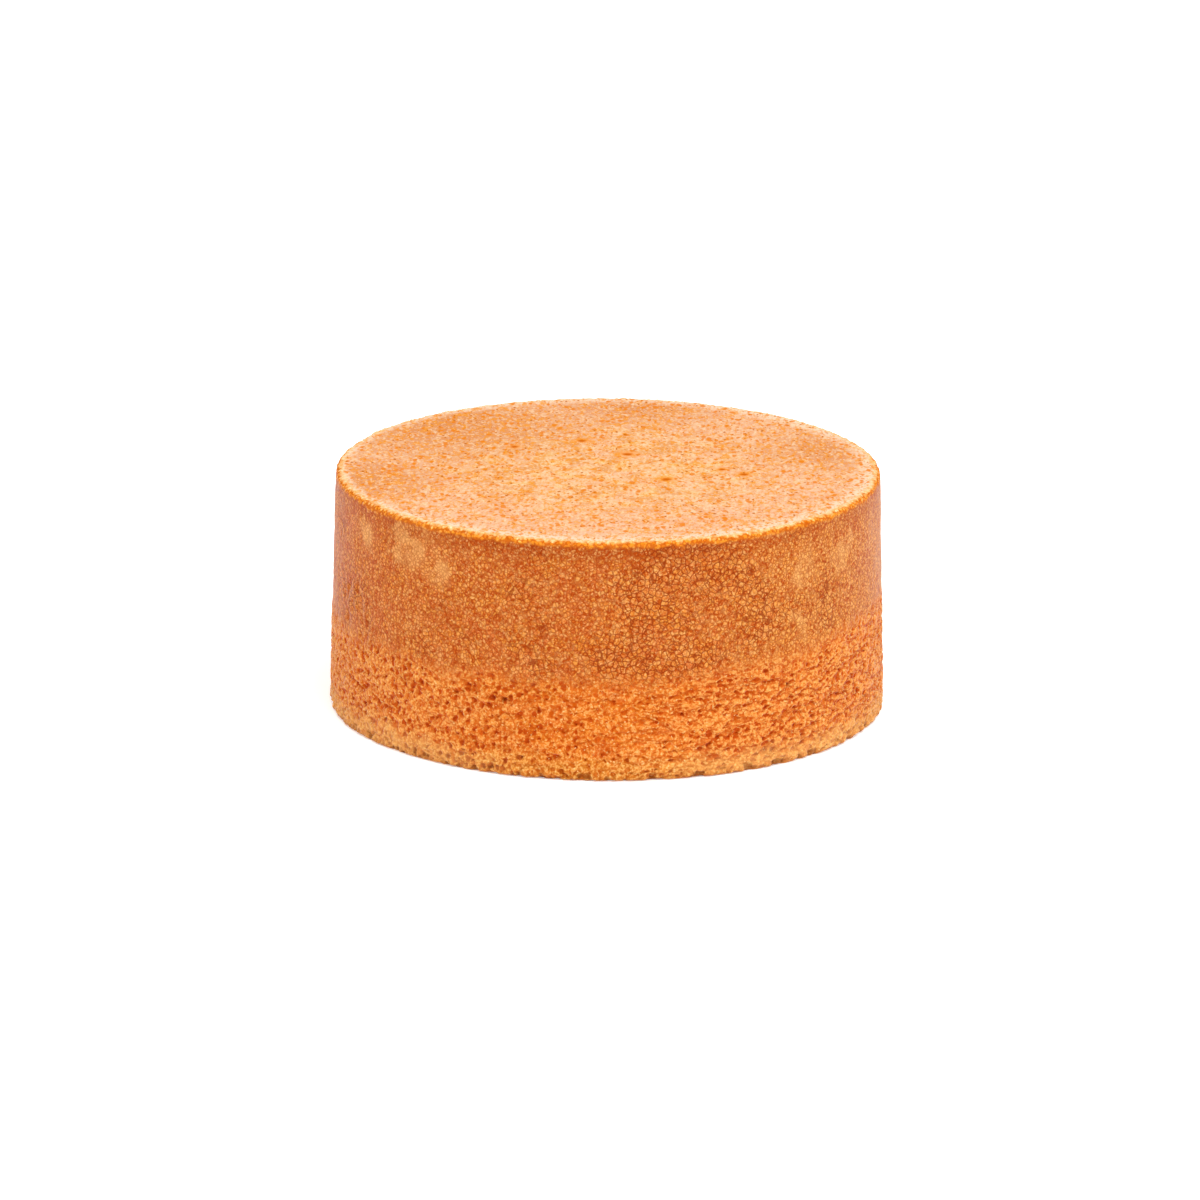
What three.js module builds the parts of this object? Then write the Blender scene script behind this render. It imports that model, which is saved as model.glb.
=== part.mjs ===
// A whole mud cake, without icing. It was baked in a deep round tin and turned out upside down, so the
// flat face from the tin's base is on top, and the face where the risen dome was cut off is underneath.
// It is one piece of cake, and so one solid: millimetres, +Z up, origin in the middle of its underside.
import * as THREE from "three";

// Driving dimensions.
const TIN_DIAMETER = 230; // across the inside of a 9 inch tin: the cake at its widest, near the foot
const CAKE_HEIGHT = 99.6; // a 4 inch deep tin, baked full and cut level with its rim
const SIDE_DRAW = 2.1; // how far the side leans in on its way from the foot to the top
const TOP_EDGE_RADIUS = 2.8; // rounding where the tin's wall met its base
const FOOT_EDGE_RADIUS = 1.6; // wear along the cut edge
const CRUMB_LINE = 0.41 * CAKE_HEIGHT; // above it the side has its baked skin, below it the crumb is bare
const CRUMB_LINE_SWING = 5; // how far that line wanders up and down
const CRUMB_STEP = 0.45; // how deep the bare crumb lies behind the skin along that line
const CRUMB_STEP_HEIGHT = 4; // how gently the side steps in there

// Unevenness of the surface: how wide its lumps are, and how far they stand out or lie in.
const SKIN_LUMP = 17;
const SKIN_RELIEF = 0.35;
const CRUMB_LUMP = 11;
const CRUMB_RELIEF = 0.5;
const TOP_LUMP = 24;
const TOP_RELIEF = 0.25;
const NIBBLE_WIDTH = 9; // crumbs broken off the foot
const NIBBLE_DEPTH = 1.4;
const NIBBLE_HEIGHT = 8;
const EDGE_FADE = 4; // the side's relief dies out over this width of the flat top
// Each kind of lump has rows of its own in the table of grains.
const SKIN_ROWS = 0;
const CRUMB_ROWS = 40;
const NIBBLE_ROWS = 80;
const TOP_ROWS = 120;

// Mesh steps.
const STEPS_AROUND = 124;
const SIDE_ROWS = 17;
const CORNER_STEPS = 4;
const FOOT_STEPS = 2;
const FACE_RINGS = [0.3, 0.58, 0.8]; // shares of a flat face's radius

const CRUST_COLOR = 0xd98040;

const footRadius = TIN_DIAMETER / 2;
const topRadius = footRadius - SIDE_DRAW;

// A number from 0 to 1 that is always the same for one pair of whole numbers.
function grain(column, row) {
  const mixed = Math.sin(column * 127.1 + row * 311.7) * 43758.5453;
  return mixed - Math.floor(mixed);
}

function smooth(t) {
  return t * t * (3 - 2 * t);
}

// Soft lumps from -1 to 1 over a surface of turn (0 to 1 around the cake) and distance along it.
// They close on themselves around the cake, so both ends of a turn meet.
function lumps(turn, distance, width, firstRow) {
  const columns = Math.round((2 * Math.PI * footRadius) / width);
  const across = (turn - Math.floor(turn)) * columns;
  const along = distance / width + firstRow;
  const column = Math.floor(across);
  const row = Math.floor(along);
  const u = smooth(across - column);
  const v = smooth(along - row);
  const left = column % columns;
  const right = (column + 1) % columns;
  const low = grain(left, row) * (1 - u) + grain(right, row) * u;
  const high = grain(left, row + 1) * (1 - u) + grain(right, row + 1) * u;
  return 2 * (low * (1 - v) + high * v) - 1;
}

// Height of the line between bare crumb and skin, which wanders in a few waves around the cake.
function crumbLine(turn) {
  const angle = 2 * Math.PI * turn;
  const wave = 0.5 * Math.cos(angle - 0.4) + 0.3 * Math.cos(3 * angle + 1.9) + 0.2 * Math.cos(7 * angle);
  return CRUMB_LINE + CRUMB_LINE_SWING * wave;
}

// How far the side stands out from its plain profile at one height: broad lumps, a low step in to the
// bare crumb, and bites out of the foot.
function sideRelief(turn, height) {
  const bare = smooth(THREE.MathUtils.clamp((crumbLine(turn) - height) / CRUMB_STEP_HEIGHT + 0.5, 0, 1));
  const skin = SKIN_RELIEF * lumps(turn, height, SKIN_LUMP, SKIN_ROWS);
  const crumb = CRUMB_RELIEF * lumps(turn, height, CRUMB_LUMP, CRUMB_ROWS);
  const step = CRUMB_STEP * bare * THREE.MathUtils.clamp(height / crumbLine(turn), 0, 1);
  const bite = Math.max(0, lumps(turn, 0, NIBBLE_WIDTH, NIBBLE_ROWS));
  const nearFoot = THREE.MathUtils.clamp(1 - height / NIBBLE_HEIGHT, 0, 1);
  return skin * (1 - bare) + crumb * bare - step - NIBBLE_DEPTH * bite * nearFoot;
}

// Half of the cake's outline, as distance from the axis and height, from the middle of the underside
// round to the middle of the top.
function cakeProfile() {
  const points = [new THREE.Vector2(0, 0)];
  const flatFoot = footRadius - FOOT_EDGE_RADIUS;
  const flatTop = topRadius - TOP_EDGE_RADIUS;
  for (const share of FACE_RINGS) points.push(new THREE.Vector2(flatFoot * share, 0));
  for (let i = 0; i <= FOOT_STEPS; i++) {
    const a = (Math.PI / 2) * (i / FOOT_STEPS);
    const inFromSide = FOOT_EDGE_RADIUS * (1 - Math.sin(a));
    points.push(new THREE.Vector2(footRadius - inFromSide, FOOT_EDGE_RADIUS * (1 - Math.cos(a))));
  }
  const sideHeight = CAKE_HEIGHT - TOP_EDGE_RADIUS - FOOT_EDGE_RADIUS;
  for (let i = 1; i < SIDE_ROWS; i++) {
    const share = i / SIDE_ROWS;
    points.push(new THREE.Vector2(footRadius - SIDE_DRAW * share, FOOT_EDGE_RADIUS + sideHeight * share));
  }
  for (let i = 0; i <= CORNER_STEPS; i++) {
    const a = (Math.PI / 2) * (i / CORNER_STEPS);
    const x = flatTop + TOP_EDGE_RADIUS * Math.cos(a);
    points.push(new THREE.Vector2(x, CAKE_HEIGHT - TOP_EDGE_RADIUS * (1 - Math.sin(a))));
  }
  for (const share of [...FACE_RINGS].reverse()) {
    points.push(new THREE.Vector2(flatTop * share, CAKE_HEIGHT));
  }
  points.push(new THREE.Vector2(0, CAKE_HEIGHT));
  return points;
}

// The profile turned once round the axis, then made uneven. The underside stays flat, because it rests
// on the table.
function cakeGeometry() {
  const geometry = new THREE.LatheGeometry(cakeProfile(), STEPS_AROUND);
  geometry.rotateX(Math.PI / 2); // a lathe turns about Y, and the cake stands along Z
  const position = geometry.getAttribute("position");
  for (let i = 0; i < position.count; i++) {
    const x = position.getX(i);
    const y = position.getY(i);
    const height = position.getZ(i);
    const radius = Math.hypot(x, y);
    const turn = Math.atan2(y, x) / (2 * Math.PI);
    const outer = smooth(THREE.MathUtils.clamp((radius - topRadius) / EDGE_FADE + 1, 0, 1));
    const grown = radius + sideRelief(turn, height) * outer;
    const scale = radius > 0 ? grown / radius : 1;
    const onTop = smooth(THREE.MathUtils.clamp((height - CAKE_HEIGHT) / TOP_EDGE_RADIUS + 1, 0, 1));
    const fromCentre = radius / topRadius; // the middle of the top is one point, so nothing may turn there
    const sag = TOP_RELIEF * onTop * fromCentre * lumps(turn, radius, TOP_LUMP, TOP_ROWS);
    position.setXYZ(i, x * scale, y * scale, height + sag);
  }
  geometry.computeBoundingBox();
  const box = geometry.boundingBox;
  geometry.translate(-(box.min.x + box.max.x) / 2, -(box.min.y + box.max.y) / 2, -box.min.z);
  geometry.computeVertexNormals();
  return geometry;
}

const crust = new THREE.MeshStandardMaterial({ color: CRUST_COLOR, roughness: 0.6, metalness: 0 });
const cake = new THREE.Mesh(cakeGeometry(), crust);
cake.name = "cake";

const mudCake = new THREE.Group();
mudCake.add(cake);

export default mudCake;
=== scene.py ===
import math

import bmesh
import bpy
from mathutils import Matrix, Vector


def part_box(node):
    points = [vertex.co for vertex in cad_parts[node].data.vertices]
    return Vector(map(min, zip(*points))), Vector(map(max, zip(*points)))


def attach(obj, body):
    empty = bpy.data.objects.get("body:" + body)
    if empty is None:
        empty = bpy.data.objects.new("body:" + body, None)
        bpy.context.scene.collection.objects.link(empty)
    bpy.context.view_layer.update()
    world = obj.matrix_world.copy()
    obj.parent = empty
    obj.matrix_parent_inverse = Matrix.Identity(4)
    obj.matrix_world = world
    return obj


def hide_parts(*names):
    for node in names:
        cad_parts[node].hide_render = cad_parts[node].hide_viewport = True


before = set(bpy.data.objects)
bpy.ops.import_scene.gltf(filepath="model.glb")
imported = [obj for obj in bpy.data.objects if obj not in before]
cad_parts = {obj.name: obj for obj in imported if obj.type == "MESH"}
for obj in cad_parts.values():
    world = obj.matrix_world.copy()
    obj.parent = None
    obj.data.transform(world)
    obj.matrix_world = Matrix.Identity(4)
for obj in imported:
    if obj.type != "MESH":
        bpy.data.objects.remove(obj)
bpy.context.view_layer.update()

# The cake itself. One piece of mud cake without icing, baked in a deep round tin and turned out upside
# down: a fine baked skin on the flat top and round the upper side, bare open crumb round the lower side.
# A disc of even cells makes the top, and its edge is drawn out over the rim and down to the foot.
MM = 0.001
cake_low, cake_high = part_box("cake")
SIDE_ROOM = 0.3 * MM  # left free for the relief
TOP_ROOM = 0.2 * MM
foot_radius = 0.5 * (cake_high.x - cake_low.x) - SIDE_ROOM
cake_height = cake_high.z - cake_low.z - TOP_ROOM
side_draw = 2.1 * MM  # the side leans in by this much on its way up
top_radius = foot_radius - side_draw
rim_radius = 2.8 * MM
foot_edge_radius = 1.6 * MM
underside_radius = 0.97 * foot_radius  # of the disc of even cells there
crumb_line = 0.41 * cake_height  # the bare crumb reaches up to here

CELLS_AROUND = 768
TOP_CELLS = 96  # cells across the top
UNDERSIDE_CELLS = 48
RIM_ROWS = 7
RIM_ROWS_ON_TOP = 4  # the rows that belong to the top's material
SKIN_ROWS = 38
CRUMB_ROWS = 64
FOOT_ROWS = 3
SIDE, TOP, UNDERSIDE = 0, 1, 2  # material slots


def add_disc(shape, cells, radius, height):
    """Adds a grid laid out as a disc with CELLS_AROUND points along its edge, to a shape clear of z = 0."""
    bmesh.ops.create_grid(shape, x_segments=cells, y_segments=cells, size=1)
    border = [edge for edge in shape.edges if edge.is_boundary and edge.verts[0].co.z == 0]
    bmesh.ops.subdivide_edges(shape, edges=border, cuts=CELLS_AROUND // (4 * cells) - 1)
    for vert in (vert for vert in shape.verts if vert.co.z == 0):
        x, y = vert.co.x, vert.co.y
        reach = max(abs(x), abs(y))
        if reach < 1e-9:
            angle = 0.0
        elif abs(x) >= abs(y):
            angle = math.pi / 4 * y / x + (math.pi if x < 0 else 0)
        else:
            angle = math.pi / 2 - math.pi / 4 * x / y + (math.pi if y < 0 else 0)
        vert.co = (radius * reach * math.cos(angle), radius * reach * math.sin(angle), height)


def side_profile():
    """Radius and height of each ring from the rim's inner edge down to the disc on the underside."""
    rings = []
    for i in range(1, RIM_ROWS + 1):
        turn = math.pi / 2 * i / RIM_ROWS
        radius = top_radius - rim_radius * (1 - math.sin(turn))
        rings.append((radius, cake_height - rim_radius * (1 - math.cos(turn))))
    side_top = cake_height - rim_radius
    for start, end, rows in ((side_top, crumb_line, SKIN_ROWS), (crumb_line, foot_edge_radius, CRUMB_ROWS)):
        for i in range(1, rows + 1):
            height = start + (end - start) * i / rows
            lean = side_draw * (height - foot_edge_radius) / (side_top - foot_edge_radius)
            rings.append((foot_radius - lean, height))
    for i in range(1, FOOT_ROWS + 1):
        turn = math.pi / 2 * i / FOOT_ROWS
        radius = foot_radius - foot_edge_radius * (1 - math.cos(turn))
        rings.append((radius, foot_edge_radius * (1 - math.sin(turn))))
    rings.append((underside_radius, 0))
    return rings


shape = bmesh.new()
add_disc(shape, TOP_CELLS, top_radius - rim_radius, cake_height)
for face in shape.faces:
    face.material_index = TOP
add_disc(shape, UNDERSIDE_CELLS, underside_radius, 0)
ring_edges = [edge for edge in shape.edges if edge.is_boundary and edge.verts[0].co.z > 0]
for row, (radius, height) in enumerate(side_profile()):
    drawn = bmesh.ops.extrude_edge_only(shape, edges=ring_edges)["geom"]
    ring_verts = {item for item in drawn if isinstance(item, bmesh.types.BMVert)}
    for vert in ring_verts:
        flat = Vector((vert.co.x, vert.co.y, 0)).normalized() * radius
        vert.co = (flat.x, flat.y, height)
    for face in (item for item in drawn if isinstance(item, bmesh.types.BMFace)):
        face.material_index = TOP if row < RIM_ROWS_ON_TOP else SIDE
    ring_edges = [item for item in drawn if isinstance(item, bmesh.types.BMEdge)]
    ring_edges = [edge for edge in ring_edges if set(edge.verts) <= ring_verts]
bmesh.ops.remove_doubles(shape, verts=shape.verts, dist=0.01 * MM)
for face in shape.faces:
    face.smooth = True
    if not any(vert.co.z > 0 for vert in face.verts):
        face.material_index = UNDERSIDE
bmesh.ops.recalc_face_normals(shape, faces=shape.faces)
mesh = bpy.data.meshes.new("cake_crumb")
shape.to_mesh(mesh)
shape.free()
cake = bpy.data.objects.new("cake_crumb", mesh)
bpy.context.scene.collection.objects.link(cake)

# The surface of the cake, worked out twice from the same cells and noises: as relief laid on the mesh, and
# as colour with a little bump in the materials. Its real sizes come first. They, the places and the heights
# of the relief are in millimetres.
RIM_BEAD = 1.4
RIM_LUMP = 3.2
RIM_RAG = 3.4  # the size of the bits by which the rim's edge wanders
RIM_WANDER = 4.4  # and how far it wanders
SKIN_GRAIN = 1.5  # the fine grain of the baked skin
SKIN_PLATE = 2.4  # the little plates that it cracks into
SKIN_BEND = 1.7  # how far the outlines of its cells are bent
SKIN_RUCK = 3.4
LINE_WANDER = 12  # how far the line between skin and crumb wanders
WANDER_SIZE = 40
LINE_CLIMB = 7  # how far it climbs to the right
LINE_RAG = 13  # how ragged it is
FOOT_RAG = 18
RAG_SIZE = 7
CRUMB_PIT = 2.9
CRUMB_SLOT = 2.1  # the height of the long holes on the right, which are twice as wide
CRUMB_PINHOLE = 1.7
CRUMB_GRAIN = 1.3
CRUMB_CURL = 1.5  # the thin walls between its holes
CRUMB_FOLD = 2.75  # its torn ledges, which come out six times as long and half as high again
CRUMB_BEND = 2.4  # how far the outlines of its holes are bent
CRUMB_BITE = 4.2  # the crumbs broken off the foot
BITE_DEPTH = 1.3
TOP_PORE = 2.5
TOP_MOTTLE = 2.1
TOP_PINHOLE = 1.8
# Pale patches on the skin: degrees round from the front towards the right, height, half width.
PALE_PATCHES = (
    (-47, 89, 12),
    (-43, 86, 12),
    (-36, 81, 10),
    (-61, 88, 9),
    (59, 81, 10),
    (44, 80, 9),
    (44, 58, 6),
    (122, 80, 9),
    (131, 74, 10),
    (-129, 85, 9),
    (-119, 79, 9),
    (-175, 74, 9),
    (-166, 68, 8),
)
# Where the skin has cracked most into plates, measured in the same way.
PLATED = ((14, 50, 68), (150, 55, 50), (-110, 60, 40))
# Tears in the crumb, and skin that rucked up against the tin, measured in the same way.
TEARS = (
    (-20.2, 31.6, 1.2),
    (-21.5, 32.0, 1.7),
    (-22.8, 32.9, 1.2),
    (-55, 40, 1.8),
    (-57, 41, 1.5),
    (-33, 36, 1.5),
    (-16, 96, 1.6),
    (38, 34, 1.5),
    (40, 33.6, 1.5),
    (96, 28, 2.2),
    (171, 24, 2.0),
)
RUCKED = ((-60, 50, 11), (-66, 60, 11), (-62, 42, 8), (-70, 54, 10))
# Larger pits in the top: right of the middle, behind the middle, half width.
DIMPLES = ((8, 22, 3.2), (24, -17, 3.0), (-11, 42, 2.6), (-39, 32, 2.4), (56, -8, 2.8), (47, -1, 2.2))
# Where the top is darker, mostly towards its back, measured in the same way.
TOP_DARKER_PLACES = ((-66, 66, 92), (12, 104, 62), (96, 30, 50), (-100, -20, 50))
EASE = {"interpolation_type": "SMOOTHSTEP"}


def add(tree, kind, inputs=(), out=0, **settings):
    """Adds one node with its settings, values and links, and returns one of its outputs."""
    node = tree.nodes.new(kind)
    for name, value in settings.items():
        setattr(node, name, value)
    for key, value in dict(inputs).items():
        if isinstance(value, bpy.types.NodeSocket):
            tree.links.new(value, node.inputs[key])
        else:
            node.inputs[key].default_value = value
    return node.outputs[out]


def stack(tree, base, *layers):
    """A base with some layers on it, each times its own height."""
    for layer, height in layers:
        base = add(tree, "ShaderNodeMath", {0: layer, 1: height, 2: base}, operation="MULTIPLY_ADD")
    return base


def bent(tree, rest, reach, size=2.6, detail=2):
    """The place, warped by a noise, so that nothing drawn there has a plain outline."""
    warp = add(tree, "ShaderNodeTexNoise", {"Vector": rest, "Scale": 1 / size, "Detail": detail}, out=1)
    warp = add(tree, "ShaderNodeVectorMath", {0: warp, 1: (0.5, 0.5, 0.5)}, operation="SUBTRACT")
    warp = {0: warp, 1: (reach, reach, reach), 2: rest}
    return add(tree, "ShaderNodeVectorMath", warp, operation="MULTIPLY_ADD")


def ragged_edge(tree, rest):
    """How far each place lies past the corner of the rim, in millimetres: inwards is less than nothing."""
    x, y, z = add(tree, "ShaderNodeSeparateXYZ", {0: rest}).node.outputs
    level = add(tree, "ShaderNodeCombineXYZ", {0: x, 1: y})
    radius = add(tree, "ShaderNodeVectorMath", {0: level}, out=1, operation="LENGTH")
    below = add(tree, "ShaderNodeMath", {0: cake_height / MM, 1: z}, operation="SUBTRACT")
    way = add(tree, "ShaderNodeMath", {0: radius, 1: below})
    rag = add(tree, "ShaderNodeTexNoise", {"Vector": rest, "Scale": 1 / RIM_RAG, "Detail": 2})
    way = stack(tree, way, (rag, RIM_WANDER))
    return add(tree, "ShaderNodeMath", {0: way, 1: top_radius / MM + RIM_WANDER / 2}, operation="SUBTRACT")


def rim_share(tree, edge):
    """How far a place belongs to the rough rim."""
    before = add(tree, "ShaderNodeMapRange", {0: edge, 1: -4.4, 2: -0.8}, **EASE)
    past = add(tree, "ShaderNodeMapRange", {0: edge, 1: 2.9, 2: 1.0}, **EASE)
    return add(tree, "ShaderNodeMath", {0: before, 1: past}, operation="MULTIPLY")


def bare_and_foot(tree, rest):
    """How bare the crumb is, which begins at a wandering line that climbs to the right, and the foot."""
    x, y, z = add(tree, "ShaderNodeSeparateXYZ", {0: rest}).node.outputs
    level = add(tree, "ShaderNodeCombineXYZ", {0: x, 1: y})
    wander = add(tree, "ShaderNodeTexNoise", {"Vector": level, "Scale": 1 / WANDER_SIZE, "Detail": 1})
    climb = add(tree, "ShaderNodeMapRange", {0: x, 1: 40, 2: 112, 4: LINE_CLIMB}, **EASE)
    rag = add(tree, "ShaderNodeTexNoise", {"Vector": rest, "Scale": 1 / RAG_SIZE, "Detail": 3})
    line = stack(tree, crumb_line / MM - LINE_WANDER, (wander, LINE_WANDER), (climb, 1), (rag, LINE_RAG))
    over = add(tree, "ShaderNodeMath", {0: z, 1: line}, operation="SUBTRACT")
    bare = add(tree, "ShaderNodeMapRange", {0: over, 1: 5.5, 2: -5.0}, **EASE)
    foot = add(tree, "ShaderNodeMapRange", {0: stack(tree, z, (rag, FOOT_RAG)), 1: 23, 2: 12}, **EASE)
    return bare, foot


def bitten(tree, rest):
    """How far the crumb has broken off near the foot, from 0 to 1."""
    z = add(tree, "ShaderNodeSeparateXYZ", {0: rest}, out=2)
    bite = add(tree, "ShaderNodeTexNoise", {"Vector": rest, "Scale": 1 / CRUMB_BITE, "Detail": 1})
    bite = add(tree, "ShaderNodeMapRange", {0: bite, 1: 0.48, 2: 0.66}, **EASE)
    near_foot = add(tree, "ShaderNodeMapRange", {0: z, 1: 7.0, 2: 1.0}, **EASE)
    return add(tree, "ShaderNodeMath", {0: bite, 1: near_foot}, operation="MULTIPLY")


def spots(tree, place, centres, core):
    """Round spots about some centres, each with its half width; core is the share where they are full."""
    share = 0.0
    for centre, half_width in centres:
        far = add(tree, "ShaderNodeVectorMath", {0: place, 1: centre}, out=1, operation="DISTANCE")
        inside = add(tree, "ShaderNodeMapRange", {0: far, 1: half_width, 2: core * half_width}, **EASE)
        share = add(tree, "ShaderNodeMath", {0: inside, 1: share}, operation="MAXIMUM")
    return share


def on_flank(places):
    """Centres on the side and half widths, from places given as degrees, height and half width."""
    reach = foot_radius / MM
    centres = []
    for degrees, height, half_width in places:
        turn = math.radians(degrees)
        centres.append((Vector((reach * math.sin(turn), -reach * math.cos(turn), height)), half_width))
    return centres


def on_top(places, wider=1.0):
    """Centres on the flat top and half widths, from places given as right, behind and half width."""
    return [((right, behind, cake_height / MM), wider * half_width) for right, behind, half_width in places]


def frayed_patches(tree, rest, places):
    """Patches of the side with frayed outlines."""
    return spots(tree, bent(tree, rest, reach=27, size=9, detail=3), on_flank(places), core=0.15)


def skin_texture(tree, rest, plated):
    """The baked skin: fine grains, each of its own tone, with thin dark seams, in little cracked plates."""
    place = bent(tree, rest, SKIN_BEND)
    grain = {"Vector": place, "Scale": 1 / SKIN_GRAIN}
    kind = add(tree, "ShaderNodeTexVoronoi", grain, out=1)
    seam = add(tree, "ShaderNodeTexVoronoi", grain, feature="DISTANCE_TO_EDGE")
    seam = add(tree, "ShaderNodeMapRange", {0: seam, 1: 0.24, 2: 0.04}, **EASE)
    calm = add(tree, "ShaderNodeMapRange", {0: plated, 3: 1.0, 4: 0.6})
    seam = add(tree, "ShaderNodeMath", {0: seam, 1: calm}, operation="MULTIPLY")
    plate = {"Vector": place, "Scale": 1 / SKIN_PLATE}
    crack = add(tree, "ShaderNodeTexVoronoi", plate, feature="DISTANCE_TO_EDGE")
    crack = add(tree, "ShaderNodeMapRange", {0: crack, 1: 0.115, 2: 0.03}, **EASE)
    sharp = add(tree, "ShaderNodeMapRange", {0: plated, 3: 0.15, 4: 1.0})
    crack = add(tree, "ShaderNodeMath", {0: crack, 1: sharp}, operation="MULTIPLY")
    height = stack(tree, 0.0, (seam, -0.12), (crack, -0.14))
    return {"height": height, "seam": seam, "crack": crack, "kind": kind}


def hollows(tree, place, size, slope, kinds, depths):
    """Round hollows, one to a cell, sloping from brim to floor. Cells differ, and so do their depths."""
    hollow = add(tree, "ShaderNodeTexVoronoi", {"Vector": place, "Scale": 1 / size})
    kind = add(tree, "ShaderNodeSeparateXYZ", {0: hollow.node.outputs["Color"]})
    depth = {0: kind, 1: kinds[0], 2: kinds[1], 3: depths[0], 4: depths[1]}
    depth = add(tree, "ShaderNodeMapRange", depth)
    hollow = add(tree, "ShaderNodeMapRange", {0: hollow, 1: slope[0], 2: slope[1]}, **EASE)
    return add(tree, "ShaderNodeMath", {0: hollow, 1: depth}, operation="MULTIPLY")


def contour(tree, noise, level, outer, full):
    """A thin line where a noise passes a level, from its outer edge to where it is full."""
    away = add(tree, "ShaderNodeMath", {0: noise, 1: level}, operation="SUBTRACT")
    away = add(tree, "ShaderNodeMath", {0: away}, operation="ABSOLUTE")
    return add(tree, "ShaderNodeMapRange", {0: away, 1: outer, 2: full}, **EASE)


def crumb_texture(tree, rest):
    """The bare crumb: a sponge of bowls and finer pores, torn into ledges on the cake's right."""
    place = bent(tree, rest, CRUMB_BEND)
    torn = add(tree, "ShaderNodeSeparateXYZ", {0: place})
    torn = add(tree, "ShaderNodeMapRange", {0: torn, 1: -30, 2: 50}, **EASE)
    long_way = add(tree, "ShaderNodeVectorMath", {0: place, 1: (0.55, 0.55, 1.05)}, operation="MULTIPLY")
    pit = hollows(tree, place, CRUMB_PIT, slope=(0.54, 0.28), kinds=(0.1, 0.8), depths=(0.3, 1.0))
    slot = hollows(tree, long_way, CRUMB_SLOT, slope=(0.5, 0.26), kinds=(0.1, 0.8), depths=(0.2, 1.0))
    pore = hollows(tree, place, CRUMB_PINHOLE, slope=(0.52, 0.26), kinds=(0.2, 0.9), depths=(0.0, 0.7))
    bowl = add(tree, "ShaderNodeMix", {0: torn, 2: pit, 3: slot})
    bowl = add(tree, "ShaderNodeMath", {0: bowl, 1: pore})
    grit = add(tree, "ShaderNodeTexVoronoi", {"Vector": place, "Scale": 1 / CRUMB_GRAIN})
    grit = add(tree, "ShaderNodeMapRange", {0: grit, 1: 0.75, 2: 0.1}, **EASE)
    curl = add(tree, "ShaderNodeTexNoise", {"Vector": place, "Scale": 1 / CRUMB_CURL, "Detail": 2})
    drawn = add(tree, "ShaderNodeTexNoise", {"Vector": long_way, "Scale": 1 / CRUMB_CURL, "Detail": 2})
    curl = add(tree, "ShaderNodeMix", {0: torn, 2: curl, 3: drawn})
    hollow = add(tree, "ShaderNodeMapRange", {0: curl, 1: 0.46, 2: 0.38}, **EASE)
    # The thin walls take painted highlights in the colours, and the clefts painted shadow.
    wall = contour(tree, curl, level=0.54, outer=0.055, full=0.01)
    longer_way = add(tree, "ShaderNodeVectorMath", {0: place, 1: (0.16, 0.16, 0.7)}, operation="MULTIPLY")
    fold = {"Vector": longer_way, "Scale": 1 / CRUMB_FOLD, "Detail": 3, "Distortion": 0.6}
    fold = add(tree, "ShaderNodeTexNoise", fold)
    ledge = add(tree, "ShaderNodeMapRange", {0: fold, 1: 0.42, 2: 0.54}, **EASE)
    deeper = add(tree, "ShaderNodeMapRange", {0: torn, 3: 0.4, 4: 1.0})
    cleft = contour(tree, fold, level=0.46, outer=0.03, full=0.006)
    cleft = add(tree, "ShaderNodeMath", {0: cleft, 1: deeper}, operation="MULTIPLY")
    height = stack(tree, 0.0, (bowl, -0.8), (grit, 0.15), (ledge, 0.4), (hollow, -0.4), (cleft, -0.25))
    look = {"bowl": bowl, "grit": grit, "wall": wall, "hollow": hollow, "cleft": cleft}
    return {"height": height, **look}


def rim_texture(tree, rest):
    """The rough rim: beads of crumb that stood against the corner of the tin."""
    place = bent(tree, rest, CRUMB_BEND)
    bead = add(tree, "ShaderNodeTexVoronoi", {"Vector": place, "Scale": 1 / RIM_BEAD})
    kind = bead.node.outputs["Color"]
    bead = add(tree, "ShaderNodeMapRange", {0: bead, 1: 0.7, 2: 0.1}, **EASE)
    lump = add(tree, "ShaderNodeTexNoise", {"Vector": place, "Scale": 1 / RIM_LUMP, "Detail": 2})
    return {"height": stack(tree, -0.6, (bead, 0.4), (lump, 1.0)), "bead": bead, "kind": kind}


def outside_holes(tree, place, size, rarest, widest):
    """How far a place lies outside its cell's round hole. Holes differ in width, and some have none."""
    cell = add(tree, "ShaderNodeTexVoronoi", {"Vector": place, "Scale": 1 / size})
    kind = add(tree, "ShaderNodeSeparateXYZ", {0: cell.node.outputs["Color"]})
    width = add(tree, "ShaderNodeMapRange", {0: kind, 1: rarest, 4: widest})
    return add(tree, "ShaderNodeMath", {0: cell, 1: width}, operation="SUBTRACT")


def top_texture(tree, rest):
    """The flat top, which lay on the base paper: shallow soft pores and pinholes."""
    place = bent(tree, rest, CRUMB_BEND)
    drawn_out = add(tree, "ShaderNodeVectorMath", {0: place, 1: (1, 0.55, 1)}, operation="MULTIPLY")
    pore = outside_holes(tree, drawn_out, TOP_PORE, rarest=0.1, widest=0.5)
    pore = add(tree, "ShaderNodeMapRange", {0: pore, 1: 0.06, 2: -0.14}, **EASE)
    mottle = {"Vector": drawn_out, "Scale": 1 / TOP_MOTTLE, "Detail": 3, "Roughness": 0.6}
    mottle = add(tree, "ShaderNodeTexNoise", mottle)
    pinhole = outside_holes(tree, drawn_out, TOP_PINHOLE, rarest=0.3, widest=0.29)
    stain = add(tree, "ShaderNodeMapRange", {0: pinhole, 1: 0.16, 2: -0.04}, **EASE)
    pinhole = add(tree, "ShaderNodeMapRange", {0: pinhole, 1: 0.03, 2: -0.08}, **EASE)
    height = stack(tree, -0.1, (pore, -0.1), (mottle, 0.2))
    return {"height": height, "pore": pore, "pinhole": pinhole, "stain": stain, "mottle": mottle}


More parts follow.
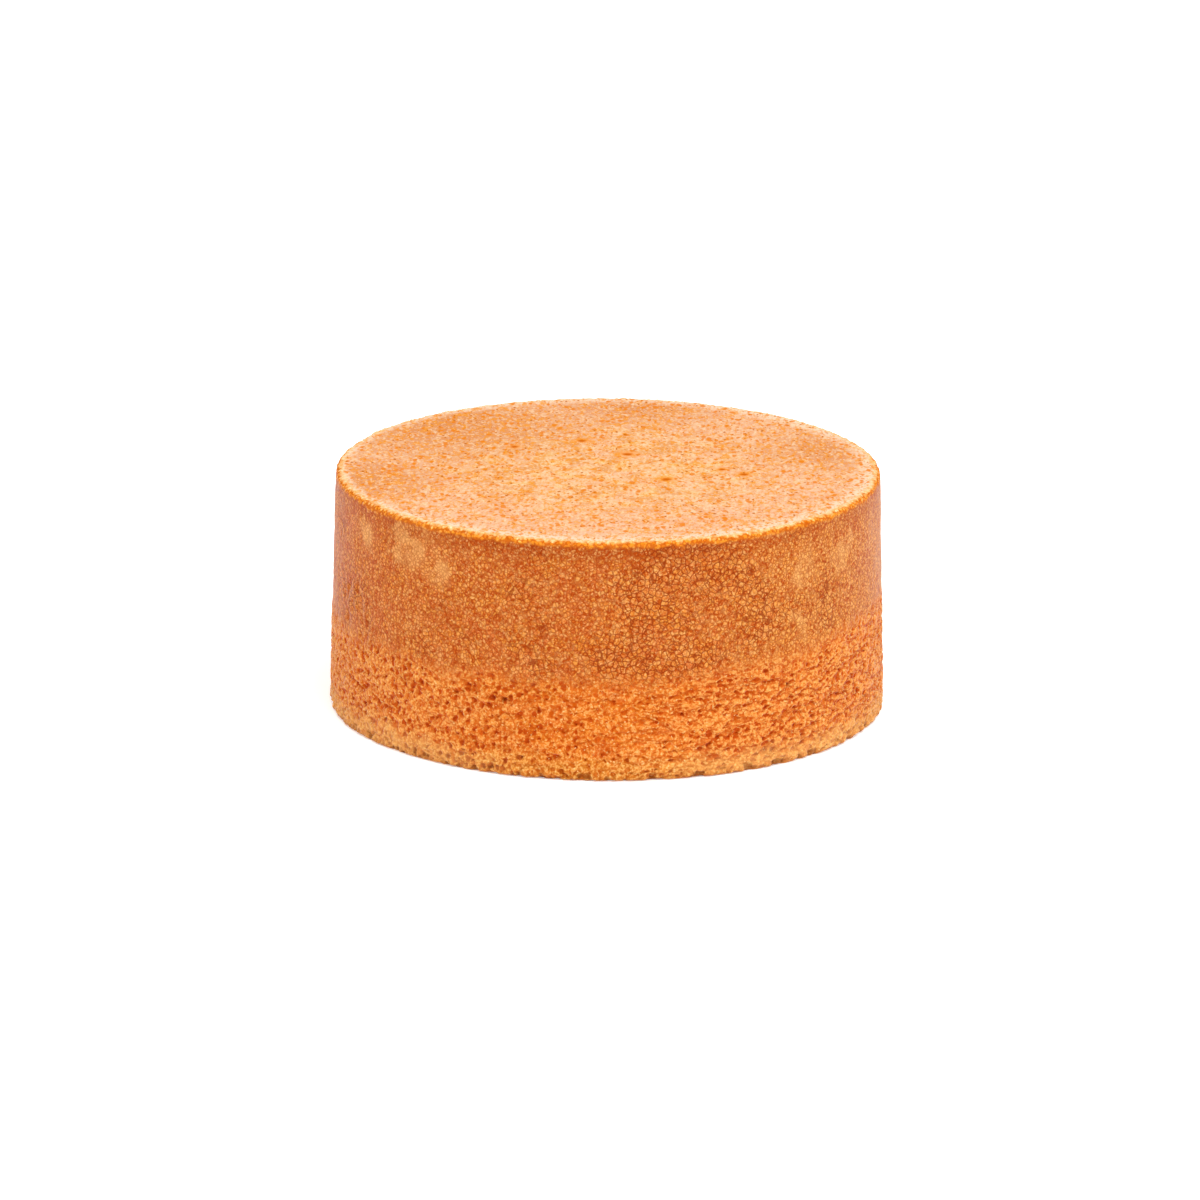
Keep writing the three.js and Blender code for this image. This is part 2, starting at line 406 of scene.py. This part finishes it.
# The relief is laid on the mesh itself. Each point keeps the place that it had before and the patches it
# belongs to, and the materials read those.
relief = bpy.data.node_groups.new("crumb_relief", "GeometryNodeTree")
relief.interface.new_socket("Geometry", in_out="INPUT", socket_type="NodeSocketGeometry")
relief.interface.new_socket("Geometry", in_out="OUTPUT", socket_type="NodeSocketGeometry")
place = add(relief, "GeometryNodeInputPosition")
rest = add(relief, "ShaderNodeVectorMath", {0: place, 3: 1 / MM}, operation="SCALE")
edge = ragged_edge(relief, rest)
bare, foot = bare_and_foot(relief, rest)
uneven = add(relief, "ShaderNodeTexNoise", {"Vector": rest, "Scale": 1 / 24, "Detail": 2})
plated = stack(relief, uneven, (spots(relief, rest, on_flank(PLATED), core=0.3), 0.22))
plated = add(relief, "ShaderNodeMapRange", {0: plated, 1: 0.47, 2: 0.73}, **EASE)
bent_place = bent(relief, rest, CRUMB_BEND)
tear = spots(relief, bent_place, on_flank(TEARS), core=0.3)
pale = frayed_patches(relief, rest, PALE_PATCHES)
zone = add(relief, "ShaderNodeCombineXYZ", {0: edge, 1: bare, 2: foot})
patches = add(relief, "ShaderNodeCombineXYZ", {0: pale, 1: plated, 2: tear})
kept = add(relief, "NodeGroupInput")
for name, value in (("rest_mm", rest), ("zone", zone), ("patches", patches)):
    stored = {"Geometry": kept, "Name": name, "Value": value}
    kept = add(relief, "GeometryNodeStoreNamedAttribute", stored, data_type="FLOAT_VECTOR")
skin = skin_texture(relief, rest, plated)["height"]
crumb = crumb_texture(relief, rest)["height"]
height = add(relief, "ShaderNodeMix", {0: bare, 2: skin, 3: crumb})
dimple = spots(relief, rest, on_top(DIMPLES), core=0.2)
sunk = add(relief, "ShaderNodeMath", {0: dimple, 1: -0.3}, operation="MULTIPLY")
on_side = add(relief, "ShaderNodeMapRange", {0: edge, 1: -0.5, 2: 0.5}, **EASE)
height = add(relief, "ShaderNodeMix", {0: on_side, 2: sunk, 3: height})
beads = rim_texture(relief, rest)["height"]
height = add(relief, "ShaderNodeMix", {0: rim_share(relief, edge), 2: height, 3: beads})
broad = add(relief, "ShaderNodeTexNoise", {"Vector": rest, "Scale": 1 / 17, "Detail": 2})
broad = add(relief, "ShaderNodeMath", {0: broad, 1: 0.5}, operation="SUBTRACT")
upright = add(relief, "ShaderNodeVectorMath", {0: bent_place, 1: (1, 1, 0.55)}, operation="MULTIPLY")
ruck = add(relief, "ShaderNodeTexNoise", {"Vector": upright, "Scale": 1 / SKIN_RUCK, "Detail": 2})
ruck = add(relief, "ShaderNodeMath", {0: ruck, 1: 0.55}, operation="SUBTRACT")
rucked = frayed_patches(relief, rest, RUCKED)
ruck = add(relief, "ShaderNodeMath", {0: ruck, 1: rucked}, operation="MULTIPLY")
height = stack(relief, height, (broad, 0.9), (tear, -1.3), (ruck, 5.0))
x, y, z = add(relief, "ShaderNodeSeparateXYZ", {0: rest}).node.outputs
# The relief fades out at the floor, so that the cake stands flat.
off_floor = add(relief, "ShaderNodeMapRange", {0: z, 1: 0.05, 2: 1.0, 4: MM})
height = add(relief, "ShaderNodeMath", {0: height, 1: off_floor}, operation="MULTIPLY")
outward = add(relief, "GeometryNodeInputNormal")
push = add(relief, "ShaderNodeVectorMath", {0: outward, 3: height}, operation="SCALE")
# Crumbs broken off the foot leave bites in it, and the flat of the underside stays whole.
level = add(relief, "ShaderNodeCombineXYZ", {0: x, 1: y})
radius = add(relief, "ShaderNodeVectorMath", {0: level}, out=1, operation="LENGTH")
flat = underside_radius / MM
beyond = {0: radius, 1: flat + 0.3, 2: flat + 1.6, 4: BITE_DEPTH * MM}
beyond = add(relief, "ShaderNodeMapRange", beyond, **EASE)
bite = add(relief, "ShaderNodeMath", {0: bitten(relief, rest), 1: beyond}, operation="MULTIPLY")
inward = add(relief, "ShaderNodeVectorMath", {0: level, 3: -1 / flat}, operation="SCALE")
inward = add(relief, "ShaderNodeVectorMath", {0: inward, 3: bite}, operation="SCALE")
push = add(relief, "ShaderNodeVectorMath", {0: push, 1: inward})
moved = add(relief, "GeometryNodeSetPosition", {"Geometry": kept, "Offset": push})
relief.links.new(moved, relief.nodes.new("NodeGroupOutput").inputs[0])
modifier = cake.modifiers.new("relief", "NODES")
modifier.node_group = relief
done = bpy.data.meshes.new_from_object(cake.evaluated_get(bpy.context.evaluated_depsgraph_get()))
cake.modifiers.clear()
cake.data = done

# The surface laid flat on one square sheet, true to scale: the front half of the side, its back half above
# that, and the two flat faces above both. Sizes and places on the sheet are in millimetres.
SHEET = 462
SIDE_MIDDLE = 231
FRONT_FOOT = 5
BACK_FOOT = 119
TOP_MIDDLE = Vector((115, 344))
UNDERSIDE_MIDDLE = Vector((346, 344))
sheet = done.uv_layers.new(name="OFBake")
points = [point.vector for point in done.attributes["rest_mm"].data]
for face in done.polygons:
    corners = [points[index] for index in face.vertices]
    in_front = sum(corner.y for corner in corners) < 0
    for (x, y, z), loop in zip(corners, face.loop_indices):
        if face.material_index == TOP:
            spot = TOP_MIDDLE + Vector((x, y))
        elif face.material_index == UNDERSIDE:
            spot = UNDERSIDE_MIDDLE + Vector((-x, y))
        else:
            turn = math.atan2(x, -y) if in_front else math.atan2(-x, y)
            radius = math.hypot(x, y)
            round_edge = 0.0
            if z > (cake_height - rim_radius) / MM:
                round_edge = top_radius / MM - radius
            elif z < foot_edge_radius / MM:
                round_edge = radius - foot_radius / MM
            foot_line = FRONT_FOOT if in_front else BACK_FOOT
            spot = Vector((SIDE_MIDDLE + foot_radius / MM * turn, foot_line + z + round_edge))
        sheet.uv[loop].vector = spot / SHEET


# The colours of the crust and the crumb. Each part has a base colour, and coats of other tones lie over it
# where its noises, grains and holes call for them. Sizes and places are in millimetres.
TINT_SIZE = 11  # of the broad tints
SPECK_HEIGHT = 0.3  # of the finest specks, which only the bump shows
LEAST_PAINTED_LIGHT = -9  # the side has least painted light, and most painted shade under its rim, this far right of its middle
FATTY_ROUGHNESS = 0.38
DRY_ROUGHNESS = 0.62
FAT_IOR = 1.45


def linear(code):
    """An sRGB hex colour as linear red, green and blue with alpha 1."""
    parts = [int(code[i : i + 2], 16) / 255 for i in (1, 3, 5)]
    return [p / 12.92 if p <= 0.04045 else ((p + 0.055) / 1.055) ** 2.4 for p in parts] + [1.0]


def paint(tree, colour, *coats):
    """Lays coats over a colour: each is a share from 0 to 1, the colour it brings, and any strengths."""
    colour = linear(colour) if isinstance(colour, str) else colour
    for share, coat, *strength in coats:
        coat = linear(coat) if isinstance(coat, str) else coat
        for part in strength:
            share = add(tree, "ShaderNodeMath", {0: share, 1: part}, operation="MULTIPLY")
        colour = add(tree, "ShaderNodeMix", {0: share, 6: colour, 7: coat}, out=2, data_type="RGBA")
    return colour


def rim_colour(tree, look, edge):
    """Cream where the rim turns up to the top, bright amber where it turns down to the side, the amber
    partly the crust's own colour and partly a painted glow of light through the crumb. Painted shade lies
    between its beads, and painted highlights on some of their crests.
    """
    dark, lit, _ = add(tree, "ShaderNodeSeparateXYZ", {0: look["kind"]}).node.outputs
    along = stack(tree, edge, (dark, 1.8))
    down = add(tree, "ShaderNodeMapRange", {0: along, 1: -1.7, 2: 1.3}, **EASE)
    gap = add(tree, "ShaderNodeMapRange", {0: look["bead"], 1: 0.45, 2: 0.0, 4: 0.7}, **EASE)
    dark = add(tree, "ShaderNodeMapRange", {0: dark, 1: 0.55, 2: 0.95, 4: 0.7}, **EASE)
    lit = add(tree, "ShaderNodeMapRange", {0: lit, 1: 0.6, 2: 1.0}, **EASE)
    crest = add(tree, "ShaderNodeMapRange", {0: look["bead"], 1: 0.45, 2: 0.9, 4: 0.85}, **EASE)
    cream = paint(tree, "#efc88f", (dark, "#e8aa4f"), (gap, "#e29838"), (crest, "#fbe3b5", lit))
    amber = paint(tree, "#e48c26", (dark, "#cf680e"), (gap, "#b04604"), (crest, "#f6bc60", lit))
    return paint(tree, cream, (down, amber))


def skin_colour(tree, look, here):
    """Golden brown grains of amber, tan and rosy brown, with dark seams and cracks, and pale specks that
    are painted highlights. Just under the rim it is browner, partly its own colour and partly painted
    shade, most of all in front.
    """
    tan, rosy, amber = add(tree, "ShaderNodeSeparateXYZ", {0: here["tint"]}).node.outputs
    fine, lit, _ = add(tree, "ShaderNodeSeparateXYZ", {0: here["speck"]}).node.outputs
    dark, hue, _ = add(tree, "ShaderNodeSeparateXYZ", {0: look["kind"]}).node.outputs
    tan = add(tree, "ShaderNodeMapRange", {0: tan, 1: 0.48, 2: 0.66, 4: 0.6}, **EASE)
    rosy = add(tree, "ShaderNodeMapRange", {0: rosy, 1: 0.48, 2: 0.66, 4: 0.6}, **EASE)
    # Browner just under the rim: partly the crust's own colour, partly painted shade, strongest in front.
    under_rim = add(tree, "ShaderNodeMapRange", {0: here["edge"], 1: 13, 2: 2}, **EASE)
    uneven = add(tree, "ShaderNodeMapRange", {0: amber, 1: 0.6, 2: 0.4, 3: 0.75, 4: 1.0}, **EASE)
    in_front = add(tree, "ShaderNodeMapRange", {0: here["aside"], 2: 0.7, 3: 1.0, 4: 0.5})
    amber = add(tree, "ShaderNodeMapRange", {0: amber, 1: 0.5, 2: 0.66, 4: 0.6}, **EASE)
    honey = add(tree, "ShaderNodeMapRange", {0: hue, 1: 0.55, 2: 0.95, 4: 0.8})
    pink = add(tree, "ShaderNodeMapRange", {0: hue, 1: 0.45, 2: 0.05, 4: 0.8})
    tone = stack(tree, fine, (dark, 0.4))
    gap = add(tree, "ShaderNodeMapRange", {0: tone, 1: 0.68, 2: 0.46, 4: 0.95}, **EASE)
    crest = add(tree, "ShaderNodeMapRange", {0: tone, 1: 0.7, 2: 0.96, 4: 0.7}, **EASE)
    pale = add(tree, "ShaderNodeMath", {0: here["pale"], 1: 0.75}, operation="MULTIPLY")
    seam = add(tree, "ShaderNodeMapRange", {0: pale, 3: 0.64, 4: 0.42})
    crack = add(tree, "ShaderNodeMapRange", {0: pale, 3: 0.82, 4: 0.3})
    # Painted highlights: sparse pale specks.
    lit = add(tree, "ShaderNodeMapRange", {0: lit, 1: 0.6, 2: 0.68, 4: 0.65}, **EASE)
    return paint(
        tree,
        "#d47c32",
        (tan, "#d78745"),
        (rosy, "#d06e35"),
        (amber, "#d98126"),
        (here["golden"], "#dc913d"),
        (honey, "#dd903c"),
        (pink, "#cc6c32"),
        (here["golden"], "#e49f4d", 0.5),
        (under_rim, "#a3450c", uneven, in_front),
        (gap, "#af4706"),
        (crest, "#dda05c"),
        (pale, "#e8ac64"),
        (lit, "#f2b471"),
        (look["seam"], "#953202", seam),
        (look["crack"], "#862d02", crack),
    )


def crumb_colour(tree, look, here):
    """Bright orange crumb, golden where it was cut at the foot. Painted shade darkens its pits, hollows and
    clefts, painted highlights make its walls and brightest specks pale, and painted light makes it paler
    towards the left and right.
    """
    rosy, amber, _ = add(tree, "ShaderNodeSeparateXYZ", {0: here["tint"]}).node.outputs
    fine = add(tree, "ShaderNodeSeparateXYZ", {0: here["speck"]})
    rosy = add(tree, "ShaderNodeMapRange", {0: rosy, 1: 0.5, 2: 0.66, 4: 0.6}, **EASE)
    amber = add(tree, "ShaderNodeMapRange", {0: amber, 1: 0.5, 2: 0.66, 4: 0.6}, **EASE)
    tone = stack(tree, fine, (look["grit"], 0.3))
    gap = add(tree, "ShaderNodeMapRange", {0: tone, 1: 0.66, 2: 0.46, 4: 0.7}, **EASE)
    crest = add(tree, "ShaderNodeMapRange", {0: tone, 1: 0.66, 2: 0.9, 4: 0.7}, **EASE)
    # Painted highlights: the brightest specks.
    bright = add(tree, "ShaderNodeMapRange", {0: tone, 1: 0.82, 2: 0.98, 4: 0.9}, **EASE)
    # Painted shade in the pits, darker as they get deeper.
    low = add(tree, "ShaderNodeMapRange", {0: look["bowl"], 1: 0.2, 2: 0.6, 4: 0.8}, **EASE)
    hole = add(tree, "ShaderNodeMapRange", {0: look["bowl"], 1: 0.55, 2: 1.0, 4: 0.8}, **EASE)
    deep = add(tree, "ShaderNodeMapRange", {0: look["bowl"], 1: 1.0, 2: 1.5, 4: 0.6}, **EASE)
    orange = paint(
        tree,
        "#d87e2e",
        (rosy, "#d4793d"),
        (amber, "#dc7f23"),
        (look["wall"], "#e8a55c", 0.75),
        (crest, "#e29d56"),
        (here["aside"], "#eda95a", 0.6),
        (look["hollow"], "#bb4c05", 0.65),
        (gap, "#c75707"),
        (look["cleft"], "#b64403", 0.8),
        (low, "#c85404"),
        (hole, "#b43f02"),
        (deep, "#962e02"),
        (bright, "#efc483"),
    )
    gold = paint(
        tree,
        "#db9040",
        (amber, "#d98a2e"),
        (look["wall"], "#e9b364", 0.75),
        (crest, "#e9b061"),
        (look["hollow"], "#c36811", 0.65),
        (gap, "#be630e"),
        (low, "#bc5908"),
        (hole, "#a24406"),
        (deep, "#7e2c04"),
        (bright, "#f0c982"),
        (here["aside"], "#efb470", 0.48),
    )
    return paint(tree, orange, (here["foot"], gold))


def top_colour(tree, look, here):
    """Peach with soft orange pores: the palest part, because it baked against paper."""
    yellow, rosy, brown = add(tree, "ShaderNodeSeparateXYZ", {0: here["tint"]}).node.outputs
    fine, warm, _ = add(tree, "ShaderNodeSeparateXYZ", {0: here["speck"]}).node.outputs
    right = add(tree, "ShaderNodeSeparateXYZ", {0: here["rest_mm"]})
    yellow = add(tree, "ShaderNodeMapRange", {0: yellow, 1: 0.45, 2: 0.65, 4: 0.8}, **EASE)
    rosy = add(tree, "ShaderNodeMapRange", {0: rosy, 1: 0.45, 2: 0.65, 4: 0.5}, **EASE)
    brown = add(tree, "ShaderNodeMapRange", {0: brown, 1: 0.48, 2: 0.62, 4: 0.85}, **EASE)
    outer = add(tree, "ShaderNodeMapRange", {0: here["edge"], 1: -80, 2: -25, 4: 0.7}, **EASE)
    ring_start = add(tree, "ShaderNodeMapRange", {0: right, 1: -95, 2: -30, 3: -7, 4: -14})
    ring = add(tree, "ShaderNodeMapRange", {0: here["edge"], 1: ring_start, 2: -3, 4: 0.68}, **EASE)
    streak = add(tree, "ShaderNodeMapRange", {0: look["mottle"], 1: 0.5, 2: 0.4, 4: 0.75}, **EASE)
    light = add(tree, "ShaderNodeMapRange", {0: look["mottle"], 1: 0.52, 2: 0.62, 4: 0.4}, **EASE)
    grain = add(tree, "ShaderNodeMapRange", {0: fine, 1: 0.48, 2: 0.36, 4: 0.65}, **EASE)
    pale = add(tree, "ShaderNodeMapRange", {0: warm, 1: 0.52, 2: 0.66, 4: 0.5}, **EASE)
    return paint(
        tree,
        "#d9ab7f",
        (yellow, "#dcaf69"),
        (rosy, "#d6a086"),
        (brown, "#ca884e"),
        (outer, "#d6a386"),
        (here["browned"], "#c27a49", 0.9),
        (ring, "#e7d2ba"),
        (streak, "#da8a22"),
        (light, "#e1bd94"),
        (grain, "#d88422"),
        (pale, "#e5c8a2"),
        (here["halo"], "#de861e", 0.85),
        (look["pore"], "#d2730e", 0.85),
        (look["stain"], "#d6821e", 0.7),
        (look["pinhole"], "#a04a0e", 0.8),
        (here["dimple"], "#be5a06"),
    )


def side_finish(tree, here):
    """The side: rim, baked skin, bare crumb and foot."""
    rest = here["rest_mm"]
    edge, bare, foot = add(tree, "ShaderNodeSeparateXYZ", {0: here["zone"]}).node.outputs
    pale, plated, tear = add(tree, "ShaderNodeSeparateXYZ", {0: here["patches"]}).node.outputs
    right, _, z = add(tree, "ShaderNodeSeparateXYZ", {0: rest}).node.outputs
    golden = add(tree, "ShaderNodeMapRange", {0: right, 1: 28, 2: 92, 4: 0.7}, **EASE)
    # Painted light: towards the left and right the crumb and foot are painted paler, and the painted shade
    # under the rim is weaker.
    aside = add(tree, "ShaderNodeMath", {0: right, 1: LEAST_PAINTED_LIGHT}, operation="SUBTRACT")
    aside = add(tree, "ShaderNodeMath", {0: aside}, operation="ABSOLUTE")
    aside = add(tree, "ShaderNodeMapRange", {0: aside, 1: 12, 2: 72, 4: 0.7}, **EASE)
    here.update(edge=edge, foot=foot, pale=pale, golden=golden, aside=aside)
    # Painted shade: darker along the lowest few millimetres of the foot, in the bites broken off it and
    # inside the tears.
    low = stack(tree, z, (here["speck"], 6.0))
    low = add(tree, "ShaderNodeMapRange", {0: low, 1: 5.4, 2: 3.4, 4: 0.5}, **EASE)
    notch = add(tree, "ShaderNodeMapRange", {0: bitten(tree, rest), 1: 0.4, 2: 0.9, 4: 0.6}, **EASE)
    skin, crumb = skin_texture(tree, rest, plated), crumb_texture(tree, rest)
    beads, rim = rim_texture(tree, rest), rim_share(tree, edge)
    height = add(tree, "ShaderNodeMix", {0: bare, 2: skin["height"], 3: crumb["height"]})
    height = add(tree, "ShaderNodeMix", {0: rim, 2: height, 3: beads["height"]})
    colour = paint(
        tree,
        skin_colour(tree, skin, here),
        (bare, crumb_colour(tree, crumb, here)),
        (low, "#a0581a"),
        (notch, "#7a3606"),
        (tear, "#9c3804"),
        (rim, rim_colour(tree, beads, edge)),
    )
    return height, colour


def top_finish(tree, here):
    """The top, out to the middle of the rim."""
    rest = here["rest_mm"]
    edge = add(tree, "ShaderNodeSeparateXYZ", {0: here["zone"]})
    # The dimples are painted a darker orange-brown: partly their own colour, partly painted shade.
    dimple = spots(tree, rest, on_top(DIMPLES), core=0.2)
    halo = spots(tree, rest, on_top(DIMPLES, wider=2.4), core=0.0)
    browned = spots(tree, rest, on_top(TOP_DARKER_PLACES), core=0.0)
    here.update(edge=edge, dimple=dimple, halo=halo, browned=browned)
    top, beads, rim = top_texture(tree, rest), rim_texture(tree, rest), rim_share(tree, edge)
    height = add(tree, "ShaderNodeMix", {0: rim, 2: top["height"], 3: beads["height"]})
    return height, paint(tree, top_colour(tree, top, here), (rim, rim_colour(tree, beads, edge)))


def underside_finish(tree, here):
    """The underside: crumb, where the dome was cut off."""
    here.update(aside=0.0, foot=1.0)
    crumb = crumb_texture(tree, here["rest_mm"])
    return crumb["height"], crumb_colour(tree, crumb, here)


def bake(name, finish, speck_size, gloss, sheen):
    """A material of the cake. Its finish gives its height in millimetres and its colour."""
    material = bpy.data.materials.new(name)
    material.use_nodes = True
    tree = material.node_tree
    tree.nodes.clear()
    here = {}
    for kept_on_mesh in ("rest_mm", "zone", "patches"):
        here[kept_on_mesh] = add(tree, "ShaderNodeAttribute", out="Vector", attribute_name=kept_on_mesh)
    tint = {"Vector": here["rest_mm"], "Scale": 1 / TINT_SIZE, "Detail": 2}
    here["tint"] = add(tree, "ShaderNodeTexNoise", tint, out=1)
    speck = add(tree, "ShaderNodeVectorMath", {0: here["rest_mm"], 1: speck_size}, operation="DIVIDE")
    here["speck"] = add(tree, "ShaderNodeTexNoise", {"Vector": speck, "Scale": 1, "Detail": 2}, out=1)
    height, colour = finish(tree, here)
    fine, fleck, _ = add(tree, "ShaderNodeSeparateXYZ", {0: here["speck"]}).node.outputs
    height = stack(tree, height, (fine, SPECK_HEIGHT))
    dryness = {0: fleck, 1: 0.35, 2: 0.65, 3: FATTY_ROUGHNESS, 4: DRY_ROUGHNESS}
    surface = {
        "Base Color": colour,
        "Roughness": add(tree, "ShaderNodeMapRange", dryness),
        "Normal": add(tree, "ShaderNodeBump", {"Strength": 0.5, "Distance": MM, "Height": height}),
        "IOR": FAT_IOR,
        "Specular IOR Level": gloss,
        "Sheen Weight": sheen,
        "Sheen Roughness": 0.3,
    }
    surface = add(tree, "ShaderNodeBsdfPrincipled", surface)
    tree.links.new(surface, tree.nodes.new("ShaderNodeOutputMaterial").inputs["Surface"])
    return material


# Baked mud cake: a moist, fatty crumb coloured by caramel. Its side is skin that browned against the tin,
# with bare crumb below it, and has a faint gloss of fat and a soft veil where it is seen edge on. The top
# baked against paper, and is pale and dull. The underside is a knife's cut, a little duller than the side.
CRUMB_SPECK = (0.9, 0.9, 0.9)
TOP_SPECK = (1.2, 2.2, 1.2)
side = bake("caramel_side_crust_and_crumb", side_finish, CRUMB_SPECK, gloss=0.05, sheen=0.2)
top = bake("peach_top_crust", top_finish, TOP_SPECK, gloss=0.0, sheen=0.03)
underside = bake("trimmed_crumb", underside_finish, CRUMB_SPECK, gloss=0.05, sheen=0.12)
for material in (side, top, underside):
    cake.data.materials.append(material)
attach(cake, "root")
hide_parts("cake")

# The table: a plain white sheet that the cake stands on, lit a little from below as a light table is.
TABLE_REACH = 12  # metres from the middle to each side
TABLE_DROP = 0.1 * MM
plane = bmesh.new()
bmesh.ops.create_grid(plane, x_segments=1, y_segments=1, size=TABLE_REACH)
bmesh.ops.translate(plane, vec=(0, 0, -TABLE_DROP), verts=plane.verts)
table_mesh = bpy.data.meshes.new("table")
plane.to_mesh(table_mesh)
plane.free()
table = bpy.data.objects.new("table", table_mesh)
bpy.context.scene.collection.objects.link(table)
paper = bpy.data.materials.new("white_paper")
paper.use_nodes = True
finish = paper.node_tree.nodes["Principled BSDF"].inputs
finish["Base Color"].default_value = (0.93, 0.93, 0.93, 1)
finish["Roughness"].default_value = 0.9
finish["Emission Color"].default_value = (1, 1, 1, 1)
finish["Emission Strength"].default_value = 0.3
table_mesh.materials.append(paper)

# The camera stands far off with a long lens, a little above the cake, and leans by under half a degree.
CAMERA_DISTANCE = 3567 * MM
CAMERA_RISE = math.radians(16.4)
CAMERA_LEAN = math.radians(0.423)
LOOK_AT = Vector((-2.98, 0, 42.7)) * MM
FOCAL_LENGTH = 258.0  # in millimetres, as the sensor's width is
SENSOR_WIDTH = 36
FARTHEST = 50  # metres
forward = Vector((0, math.cos(CAMERA_RISE), -math.sin(CAMERA_RISE)))
right = Vector((1, 0, 0))
up = Vector((0, math.sin(CAMERA_RISE), math.cos(CAMERA_RISE)))
leaned_right = right * math.cos(CAMERA_LEAN) + up * math.sin(CAMERA_LEAN)
leaned_up = up * math.cos(CAMERA_LEAN) - right * math.sin(CAMERA_LEAN)
facing = Matrix((leaned_right, leaned_up, -forward)).transposed().to_4x4()
lens = bpy.data.cameras.new("camera")
lens.lens = FOCAL_LENGTH
lens.sensor_width = SENSOR_WIDTH
lens.clip_end = FARTHEST
camera = bpy.data.objects.new("camera", lens)
camera.matrix_world = Matrix.Translation(LOOK_AT - forward * CAMERA_DISTANCE) @ facing
bpy.context.scene.collection.objects.link(camera)
bpy.context.scene.camera = camera

# The lights: a broad key from the right and a weaker one from the left light the whole table evenly, and
# a softbox stands over the front of the cake.
KEY_SPREAD = math.radians(60)
for name, place, strength in (("key", (1.3, -0.7, 2.2), 1.8), ("fill", (-1.3, -0.7, 2.2), 1.05)):
    light = bpy.data.lights.new(name, "SUN")
    light.energy = strength
    light.angle = KEY_SPREAD
    lamp = bpy.data.objects.new(name, light)
    lamp.rotation_euler = Vector(place).to_track_quat("Z", "Y").to_euler()
    bpy.context.scene.collection.objects.link(lamp)
light = bpy.data.lights.new("softbox", "AREA")
light.shape = "RECTANGLE"
light.size, light.size_y = 0.8, 0.5
light.energy = 1.2
lamp = bpy.data.objects.new("softbox", light)
lamp.location = (0.05, -0.38, 0.75)
lamp.rotation_euler = (LOOK_AT - lamp.location).to_track_quat("-Z", "Y").to_euler()
bpy.context.scene.collection.objects.link(lamp)
world = bpy.data.worlds.new("studio")
world.use_nodes = True
sky = world.node_tree.nodes["Background"].inputs
sky["Color"].default_value = (1, 1, 1, 1)
sky["Strength"].default_value = 0.55
bpy.context.scene.world = world
bpy.context.scene.view_settings.view_transform = "Standard"
